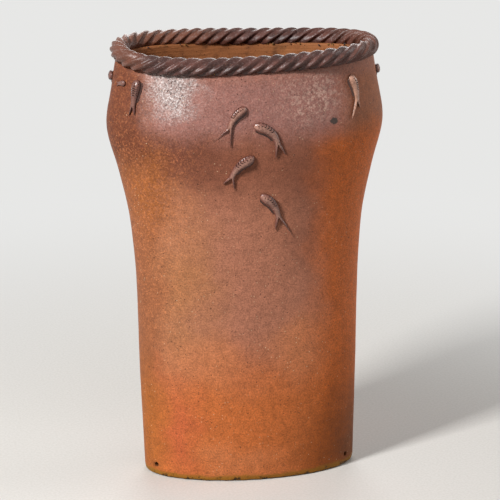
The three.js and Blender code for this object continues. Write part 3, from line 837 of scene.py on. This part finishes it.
class POT_OT_wall(bpy.types.Operator):
    """Builds the oval wall ring by ring, with its drain holes and worn foot"""
    bl_idname = "pot.wall"
    bl_label = "Wall"

    ROUND = 80
    STEP = 0.0145
    INSIDE_STEP = 0.045
    FOOT_ROUNDING = 0.0016
    # The wall's top runs up into the soft roll
    INTO_ROLL = 0.0025
    # Only what lies beyond this share of the foot's oval is nibbled
    NIBBLED_FROM = 0.94
    NIBBLE_DEPTH = 0.0022
    DRILL_ROUND = 20
    DRILL_DEPTH = 0.044

    def ring(self, form, low, high, inset_low, inset_high):
        """Extrudes the selected ring from one height to another and fits it to the oval"""
        shift = form.lean(high) - form.lean(low)
        extrude((shift, 0, high - low))
        (length_low, depth_low), (length_high, depth_high) = (
            form.radii(low, inset_low), form.radii(high, inset_high))
        resize((length_high / length_low, depth_high / depth_low, 1), (form.lean(high), 0, high))

    def execute(self, context):
        settings = context.scene.pot_wall
        form = WallForm(settings)
        mouth = settings.mouth_height + self.INTO_ROLL
        rounding = self.FOOT_ROUNDING
        wall = circle("pot_wall", self.ROUND)
        edit()
        resize((*form.radii(0, rounding), 1), (0, 0, 0))
        outside = [(0, rounding), (rounding, 0)]
        low = 3 * rounding
        count = math.ceil((mouth - low) / self.STEP)
        outside += [(lerp(low, mouth, index / count), 0) for index in range(count + 1)]
        count = math.ceil(mouth / self.INSIDE_STEP)
        inside = [lerp(mouth, 0, index / count) for index in range(count + 1)]
        inside.insert(1, mouth - rounding)
        rings = outside + [(height, form.thickness(height)) for height in inside]
        for (from_height, from_inset), (height, inset) in zip(rings, rings[1:]):
            self.ring(form, from_height, height, from_inset, inset)
        bpy.ops.mesh.select_mode(type="EDGE")
        bpy.ops.mesh.select_all(action="DESELECT")
        bpy.ops.mesh.select_non_manifold(extend=False)
        bpy.ops.mesh.bridge_edge_loops()
        turn_outwards()
        wall.data.materials.append(salt_glazed_wall(context))
        wall.data.materials.append(inner_wall(context))
        self.stand_uneven(wall, form)
        refine(wall, 2)
        self.wear(wall, form)
        self.drill(wall, form)
        for face in wall.data.polygons:
            inset = form.thickness(face.center.z) * 0.4
            face.material_index = int(math.hypot(*form.outward(*face.center, inset)) < 1)
        settle(wall, 35, "wall", "wall")
        return {"FINISHED"}

    def stand_uneven(self, wall, form):
        """Lifts and drops the mouth by the form's own rise"""
        middle = {}
        for vertex in wall.data.vertices:
            middle[vertex.index] = form.rise(form.angle(*vertex.co), vertex.co.z)
        most = max(abs(rise) for rise in middle.values())
        for sign in (1, -1):
            made = wall.vertex_groups.new(name="lift" if sign > 0 else "drop")
            for index, rise in middle.items():
                if sign * rise > 0:
                    made.add([index], sign * rise / most, "REPLACE")
            modify(wall, "DISPLACE", vertex_group=made.name, direction="Z", strength=sign * most,
                   mid_level=0)

    def wear(self, wall, form):
        """The soft dents of hand building, and the nibbled edge of the foot"""
        dents = form.settings.hand_unevenness
        top = form.settings.mouth_height
        body = group(wall, "body", lambda co: smoothstep(co.z, 0.004, 0.06)
                     * smoothstep(co.z, top + 0.01, top - 0.03))
        dent(wall, "broad dents", 0.16, dents, vertex_group=body)
        dent(wall, "finger dents", 0.045, dents * 0.3, vertex_group=body)
        foot = group(wall, "foot", lambda co: smoothstep(co.z, 0.010, 0.001)
                     * (math.hypot(*form.outward(co.x, co.y, 0)) > self.NIBBLED_FROM))
        dent(wall, "nibbled foot", 0.012, -self.NIBBLE_DEPTH, 3, 0, vertex_group=foot)

    def drill(self, wall, form):
        """Drain holes, poked by hand through the wall just above the floor slab"""
        settings = form.settings
        height = settings.drain_height
        cutters = []
        for number, bearing in enumerate(settings.drain_bearings):
            outward = form.normal(bearing, height)
            outward.z = 0
            outward.normalize()
            middle = form.point(bearing, height, form.thickness(height) / 2)
            deselect()
            bpy.ops.mesh.primitive_cylinder_add(
                vertices=self.DRILL_ROUND, radius=settings.drain_diameter / 2,
                depth=self.DRILL_DEPTH, location=middle,
                rotation=outward.to_track_quat("Z", "Y").to_euler())
            cutter = named(f"drain_{number}")
            edit()
            bpy.ops.transform.vertex_random(offset=0.0005, seed=number + 3)
            leave_edit()
            cutters.append(cutter)
        carve(wall, cutters)


class POT_OT_slab(bpy.types.Operator):
    """Builds the flat clay bottom inside the foot"""
    bl_idname = "pot.slab"
    bl_label = "Floor slab"

    ROUND = 80
    # How many of the rim's vertices lie along one side of the grid that fills it
    GRID_SPAN = 25

    def execute(self, context):
        half_length = (slab_high.x - slab_low.x) / 2
        half_depth = (slab_high.y - slab_low.y) / 2
        thickness = slab_high.z - slab_low.z
        slab = circle("pot_floor_slab", self.ROUND)
        edit()
        resize((half_length, half_depth, 1), (0, 0, 0))
        extrude((0, 0, thickness))
        bpy.ops.mesh.fill_grid(span=self.GRID_SPAN)
        pick(slab, lambda co: co.z < thickness / 2)
        bpy.ops.mesh.fill_grid(span=self.GRID_SPAN)
        turn_outwards()
        modify(slab, "BEVEL", width=0.0022, segments=3, limit_method="ANGLE",
               angle_limit=math.radians(50))
        refine(slab, 1)
        top = group(slab, "top", lambda co: smoothstep(co.z, thickness * 0.6, thickness))
        dent(slab, "slab dents", 0.04, 0.002, vertex_group=top)
        slab.data.materials.append(bare_slab(context))
        settle(slab, 50, "floor_slab", "floor_slab")
        return {"FINISHED"}


class POT_OT_rope(bpy.types.Operator):
    """Twists a ridged clay bar and lays it round the mouth"""
    bl_idname = "pot.rope"
    bl_label = "Rope rim"

    # The bar's radius from one ridge to the next, as shares of the ridge radius: a steep side down
    # from the crest, a hollow, and a gentle slope up to the next crest
    PROFILE = (1.0, 0.85, 0.72, 0.74, 0.80, 0.865, 0.93, 0.98)
    STEPS_PER_RIDGE = 10
    # Over this length at each end of the bar the handling fades out
    FADE = 0.02

    def execute(self, context):
        settings = context.scene.pot_rope
        form = WallForm(context.scene.pot_wall)
        path, length = self.path(form, settings)
        radius = settings.ridge_radius
        slices = settings.turns * settings.ridges * self.STEPS_PER_RIDGE
        around = settings.ridges * len(self.PROFILE)
        rope = circle("pot_rope_rim", around, radius, turned=math.pi / 2)
        edit()
        for step, share in enumerate(self.PROFILE):
            def on_step(co, step=step):
                place = math.atan2(co.z, co.y) / math.tau * around
                return round(place) % len(self.PROFILE) == step
            pick(rope, on_step)
            resize((1, share, share), (0, 0, 0))
        bpy.ops.mesh.select_all(action="SELECT")
        extrude((length / slices, 0, 0))
        leave_edit()
        modify(rope, "ARRAY", count=slices, use_relative_offset=False, use_constant_offset=True,
               constant_offset_displace=(length / slices, 0, 0), use_merge_vertices=True,
               merge_threshold=0.0001)
        modify(rope, "SIMPLE_DEFORM", deform_method="TWIST", deform_axis="X",
               angle=-math.tau * settings.turns)
        self.handle(rope, length, settings)
        modify(rope, "CURVE", object=path, deform_axis="POS_X")
        edit()
        bpy.ops.mesh.select_all(action="SELECT")
        bpy.ops.mesh.remove_doubles(threshold=0.0006)
        turn_outwards()
        refine(rope, 1)
        bpy.data.objects.remove(path)
        rope.data.materials.append(rope_glaze(context))
        settle(rope, 60, "rope_rim", "rope_rim")
        return {"FINISHED"}

    def path(self, form, settings):
        """A closed curve along the middle of the wall's uneven top"""
        mouth = form.settings.mouth_height
        inset = form.settings.thickness / 2
        lift = settings.ridge_radius - settings.seat_depth
        deselect()
        bpy.ops.curve.primitive_bezier_circle_add(radius=1)
        path = named("rope_path")
        edit()
        resize((*form.radii(mouth, inset), 1), (0, 0, 0))
        bpy.ops.transform.translate(value=(form.lean(mouth), 0, mouth + lift))
        bpy.ops.curve.subdivide(number_cuts=7)
        leave_edit()
        spline = path.data.splines[0]
        for point in spline.bezier_points:
            point.co.z += form.rise(form.angle(point.co.x, point.co.y, mouth, inset), mouth)
            point.handle_left_type = point.handle_right_type = "AUTO"
        path.data.dimensions = "3D"
        path.data.twist_mode = "Z_UP"
        path.data.resolution_u = 16
        path.data.use_stretch = True
        path.data.use_deform_bounds = True
        bpy.context.view_layer.update()
        return path, spline.calc_length()

    def handle(self, rope, length, settings):
        """Uneven twisting and finger marks, fading out where the bar's ends meet"""
        fade = group(rope, "away from the join", lambda co: smoothstep(co.x, 0, self.FADE)
                     * smoothstep(co.x, length, length - self.FADE))
        dent(rope, "uneven twist", 0.09, 0.009, vertex_group=fade, direction="X")
        dent(rope, "squeezes", 0.035, settings.unevenness, vertex_group=fade)
        dent(rope, "finger marks", 0.009, settings.unevenness * 0.45, vertex_group=fade)


class POT_OT_crumbs(bpy.types.Operator):
    """Scatters the crumbs of clay that were left along both sides of the roll's seat"""
    bl_idname = "pot.crumbs"
    bl_label = "Crumbs"

    SHAPES = 5
    CLUMPS = 17

    def execute(self, context):
        settings = context.scene.pot_rope
        form = WallForm(context.scene.pot_wall)
        rand = random.Random(11)
        shapes = []
        for number in range(self.SHAPES):
            deselect()
            bpy.ops.mesh.primitive_ico_sphere_add(subdivisions=1, radius=1)
            shape = named(f"crumb_shape_{number}")
            edit()
            bpy.ops.transform.vertex_random(offset=0.3, seed=number + 1)
            resize((1, 0.8, 0.62), (0, 0, 0))
            leave_edit()
            shapes.append(shape)
        clumps = [rand.uniform(0, 360) for _ in range(self.CLUMPS)]
        crumbs = []
        for number in range(settings.crumbs):
            # Two crumbs in three lie in clumps
            bearing = rand.gauss(rand.choice(clumps), 6) if number % 3 else rand.uniform(0, 360)
            outer = rand.random() < 0.55
            inset = rand.uniform(-0.0022, 0.0004)
            if not outer:
                inset = form.settings.thickness - inset
            level = form.settings.mouth_height - rand.uniform(0, 0.0015)
            place = form.point(bearing, level, inset)
            place.z += rand.uniform(0.0005, 0.0028)
            size = rand.uniform(0.0009, 0.0024)
            turn = Euler([rand.uniform(0, math.tau) for _ in range(3)]).to_matrix().to_4x4()
            crumbs.append(another(shapes[number % self.SHAPES],
                                  Matrix.Translation(place) @ turn @ Matrix.Scale(size, 4)))
        for shape in shapes:
            bpy.data.objects.remove(shape)
        hold(*crumbs)
        bpy.ops.object.join()
        joined = named("pot_crumbs")
        joined.data.materials.append(crumb_clay(context))
        settle(joined, 50, "rope_rim")
        return {"FINISHED"}


class POT_OT_fish(bpy.types.Operator):
    """Models each small fish flat, with its tail and pressed scales, and lays it on the wall"""
    bl_idname = "pot.fish"
    bl_label = "Fish"

    # Along the body: how far from the nose, and how full the section is there
    STATIONS = ((0.03, 0.38), (0.085, 0.66), (0.17, 0.89), (0.28, 1.02), (0.42, 1.0), (0.56, 0.98),
                (0.7, 0.97), (0.85, 0.98), (1.0, 1.0))
    # Along a tail prong: how far from its root, and how full it is there
    PRONG = ((0.12, 0.97), (0.4, 0.82), (0.72, 0.46), (1.0, 0.1))
    # A fish is a round roll pressed onto the wall, widest at this share of its height
    WIDEST = 0.4
    # Its underside lies below the wall's surface
    BASE = -0.0026
    # The stretch of the body that has a thin edge
    FIN_SPAN = (0.12, 0.9)
    # The scale marks' places along the body, and how far each leans towards the tail
    SCALES = (0.14, 0.22, 0.3, 0.38, 0.46, 0.54)
    SCALE_TILT = math.radians(24)
    # Where the rows of marks lie, in shares of the half width towards the outer side: one row on
    # a fish that turns by more than this angle, and two on a straighter one
    BENT = 20
    ROWS_BENT = (0.58,)
    ROWS_STRAIGHT = (0.5, -0.4)
    # A fish of this size or less has no thin edge and no scale marks
    SMALL = 0.5
    # Closer than this is the same place
    NEAR = 0.01 * MM
    # How far off the wall a point looks for it
    REACH = 0.02

    def execute(self, context):
        form = WallForm(context.scene.pot_wall)
        settings = context.scene.pot_fish
        glaze = fish_glaze(context)
        groove = scale_groove(context)
        for name, values in FISH.items():
            fish = dict(zip(FISH_VALUES, values))
            made = self.flat_fish(name, fish, settings)
            made.data.materials.append(glaze)
            if fish["size"] > self.SMALL:
                self.press_scales(made, fish, settings, groove)
            self.lay(made, fish, form, settings)
            settle(made, 40, "fish", name)
        return {"FINISHED"}

    def slimness(self, fish):
        """A smaller fish is slimmer too"""
        return lerp(0.35, 1, fish["size"])

    def section(self, share, settings, slim):
        """Half width and height of the body at a share of its length"""
        (s0, f0), (s1, f1) = next(
            (low, high) for low, high in zip(self.STATIONS, self.STATIONS[1:]) if share <= high[0])
        full = lerp(f0, f1, (share - s0) / (s1 - s0)) * slim
        taper = smoothstep(share, 0.2, 1)
        return (lerp(settings.width, settings.root_width, taper) / 2 * full,
                lerp(settings.height, settings.root_height, taper) * full)

    def flat_fish(self, name, fish, settings):
        """A fish that lies along +X with its nose at the origin and its back upwards"""
        body = settings.length * fish["size"]
        slim = self.slimness(fish)
        made = circle("pot_" + name, 16, fill="NGON", turned=math.pi / 2)
        edit()
        bpy.ops.mesh.select_all(action="SELECT")
        half_width, height = self.section(self.STATIONS[0][0], settings, slim)
        resize((1, half_width, height * (1 - self.WIDEST)), (0, 0, 0))
        bpy.ops.transform.translate(value=(self.STATIONS[0][0] * body, 0, height * self.WIDEST))
        for (before, _), (share, _) in zip(self.STATIONS, self.STATIONS[1:]):
            width_before, height_before = self.section(before, settings, slim)
            half_width, height = self.section(share, settings, slim)
            extrude(((share - before) * body, 0, 0))
            resize((1, half_width / width_before, height / height_before), (share * body, 0, 0))
        # The underside is flattened a little below the wall's surface
        pick(made, lambda co: co.z < -0.1 * MM)
        resize((1, 1, 0), (0, 0, self.BASE))
        if fish["size"] > self.SMALL:
            self.fin(made, fish, settings, body)
        self.fork(made, fish, settings, body, half_width)
        turn_outwards()
        refine(made, 2)
        return made

    def fin(self, made, fish, settings, body):
        """Draws a thin edge out along the inner side of the fish's curve"""
        side = math.copysign(1, fish["turn"])

        def flank(co):
            if not self.FIN_SPAN[0] < co.x / body < self.FIN_SPAN[1] or co.y * side < 0:
                return False
            half_width, height = self.section(co.x / body, settings, self.slimness(fish))
            return self.BASE * 0.8 < co.z < 0.1 * height and abs(co.y) > 0.74 * half_width
        pick(made, flank, "FACE")
        extrude((0, side * settings.fin_width, 0))
        resize((1, 1, 0.7), (0, 0, 0))

    def fork(self, made, fish, settings, body, half_width):
        """Splits the tail's end face in two and draws a prong out of each half"""
        def at_end(co):
            return abs(co.x - body) < self.NEAR

        for side in (1, -1):
            pick(made, lambda co: at_end(co) and co.y * side > -self.NEAR)
            bpy.ops.mesh.edge_face_add()
        # The old undivided end face has more corners than its halves
        pick(made, at_end, "FACE")
        leave_edit()
        for face in made.data.polygons:
            face.select = face.select and len(face.vertices) > 12
        edit()
        bpy.ops.mesh.delete(type="ONLY_FACE")
        for side in (1, -1):
            angle, reach, *line = next(p for p in fish["prongs"] if p[0] * side > 0)
            way = Vector((math.cos(math.radians(angle)), math.sin(math.radians(angle)), 0))
            pick(made, lambda co: at_end(co) and co.y * side > 0, "FACE")
            root = middle = Vector((body, side * half_width / 2, 0))
            width_before = 1
            steps = [(share * reach, width, settings.tail_lift * share ** 2)
                     for share, width in self.PRONG]
            steps += [(reach + extra, 0.08, 0.3 * MM) for extra in line]
            for along, width, lift in steps:
                place = root + way * along * settings.length + Vector((0, 0, lift))
                extrude(place - middle)
                resize((1, width / width_before, width / width_before), place)
                middle = place
                width_before = width

    def press_scales(self, made, fish, settings, groove):
        """Presses rows of crescent scale marks into the back behind the head"""
        deselect()
        bpy.ops.mesh.primitive_torus_add(
            major_segments=12, minor_segments=5, major_radius=settings.scale_width / 2,
            minor_radius=settings.scale_groove / 2)
        crescent = named("crescent")
        crescent.data.materials.append(groove)
        edit()
        bpy.ops.mesh.select_all(action="SELECT")
        bpy.ops.mesh.bisect(plane_co=(0.2 * MM, 0, 0), plane_no=(1, 0, 0), use_fill=True,
                            clear_inner=True)
        leave_edit()
        body = settings.length * fish["size"]
        outer = -math.copysign(1, fish["turn"])
        for row in self.ROWS_BENT if abs(fish["turn"]) > self.BENT else self.ROWS_STRAIGHT:
            cutters = []
            for share in self.SCALES:
                half_width, height = self.section(share, settings, self.slimness(fish))
                across = outer * row * half_width
                rise = height * (1 - self.WIDEST)
                up = rise * math.sqrt(1 - row ** 2)
                normal = Vector((0, across / half_width ** 2, up / rise ** 2)).normalized()
                place = Vector((share * body, across, height * self.WIDEST + up))
                place += normal * 0.25 * MM
                # The crescent leans so that only its tail side digs in
                lean = normal * math.cos(self.SCALE_TILT)
                lean.x += math.sin(self.SCALE_TILT)
                side = lean.cross((1, 0, 0)).normalized()
                turn = Matrix((side.cross(lean), side, lean)).transposed().to_4x4()
                cutters.append(another(crescent, Matrix.Translation(place) @ turn))
            carve(made, cutters)
        bpy.data.objects.remove(crescent)

    def lay(self, made, fish, form, settings):
        """Curves a flat fish along its line and moves each of its points onto the real wall"""
        wall = bpy.data.objects["pot_wall"]
        body = settings.length * fish["size"]
        start = math.radians(fish["heading"])
        turn = math.radians(fish["turn"])
        radius = body / turn
        height = fish["level"] * form.settings.mouth_height
        bearing = fish["bearing"]
        a_degree = (form.point(bearing + 0.5, height) - form.point(bearing - 0.5, height)).length
        proud = made.data.attributes.new(PROUD, "FLOAT", "POINT")
        for vertex, level in zip(made.data.vertices, proud.data):
            share = min(max(vertex.co.x / body, 0), 1)
            level.value = vertex.co.z / self.section(share, settings, self.slimness(fish))[1]
        for vertex in made.data.vertices:
            along, across, out = vertex.co
            share = min(max(along / body, 0), 1)
            angle = start + turn * share
            beyond = along - share * body
            right = radius * (math.sin(angle) - math.sin(start)) + beyond * math.cos(angle)
            up = radius * (math.cos(start) - math.cos(angle)) + beyond * math.sin(angle)
            right -= across * math.sin(angle)
            up += across * math.cos(angle)
            place = (bearing + right / a_degree, height + up)
            normal = form.normal(*place)
            point = form.point(*place)
            found, surface, _, _ = wall.ray_cast(point + normal * self.REACH, -normal,
                                                 distance=2 * self.REACH)
            vertex.co = (surface if found else point) + normal * out
        made.data.update()


class POT_OT_stage(bpy.types.Operator):
    """Sets the pale floor, the soft lights and the camera"""
    bl_idname = "pot.stage"
    bl_label = "Stage"

    # Where each soft light hangs, and how large it is
    LIGHTS = {
        "key": ((-2.12, -1.49, 2.26), 0.5),
        "fill": ((2.96, 0, 1.29), 1.6),
        "top": ((0.4, -1.7, 3.1), 1.5),
        "back": ((0.6, 3.1, 1.7), 1.8),
    }
    # What the lights point at
    AIM = Vector((0, 0, 0.38))
    FLOOR_RADIUS = 9

    def light(self, name, place, size, power):
        deselect()
        bpy.ops.object.light_add(type="AREA", location=place)
        lamp = named(name)
        lamp.data.shape = "SQUARE"
        lamp.data.size = size
        lamp.data.energy = power
        beam = self.AIM - Vector(place)
        lamp.rotation_euler = beam.to_track_quat("-Z", "Y").to_euler()

    def execute(self, context):
        settings = context.scene.pot_stage
        floor = circle("studio_floor", 96, self.FLOOR_RADIUS, "NGON")
        floor.data.materials.append(pale_floor())
        for name, (place, size) in self.LIGHTS.items():
            self.light(f"{name}_light", place, size, getattr(settings, f"{name}_power"))
        deselect()
        bpy.ops.object.camera_add(location=settings.camera_place, rotation=settings.camera_turn)
        camera = named("photo_camera")
        camera.data.sensor_width = 36
        camera.data.lens = settings.lens
        camera.data.clip_end = 40
        context.scene.camera = camera
        context.scene.world = studio_air(settings.daylight)
        context.scene.view_settings.view_transform = "Standard"
        return {"FINISHED"}


GROUPS = {
    "pot_wall": WallSettings,
    "pot_rope": RopeSettings,
    "pot_fish": FishSettings,
    "pot_glaze": GlazeSettings,
    "pot_stage": StageSettings,
}
OPERATORS = (POT_OT_wall, POT_OT_slab, POT_OT_rope, POT_OT_crumbs, POT_OT_fish, POT_OT_stage)


class POT_PT_sidebar(bpy.types.Panel):
    """Lists the pot's settings and pieces"""
    bl_idname = "POT_PT_sidebar"
    bl_label = "Stoneware Floor Pot"
    bl_space_type = "VIEW_3D"
    bl_region_type = "UI"
    bl_category = "Pot"

    def draw(self, context):
        for operator in OPERATORS:
            self.layout.operator(operator.bl_idname)
        for name, kind in GROUPS.items():
            box = self.layout.box()
            box.label(text=kind.__doc__)
            for setting in kind.__annotations__:
                box.prop(getattr(context.scene, name), setting)


def register():
    for kind in (*GROUPS.values(), *OPERATORS, POT_PT_sidebar):
        bpy.utils.register_class(kind)
    for name, kind in GROUPS.items():
        setattr(bpy.types.Scene, name, bpy.props.PointerProperty(type=kind))


def unregister():
    for name in GROUPS:
        delattr(bpy.types.Scene, name)
    for kind in reversed((*GROUPS.values(), *OPERATORS, POT_PT_sidebar)):
        bpy.utils.unregister_class(kind)


def main():
    register()
    for operator in OPERATORS:
        section, name = operator.bl_idname.split(".")
        getattr(getattr(bpy.ops, section), name)()


if __name__ == "__main__":
    main()
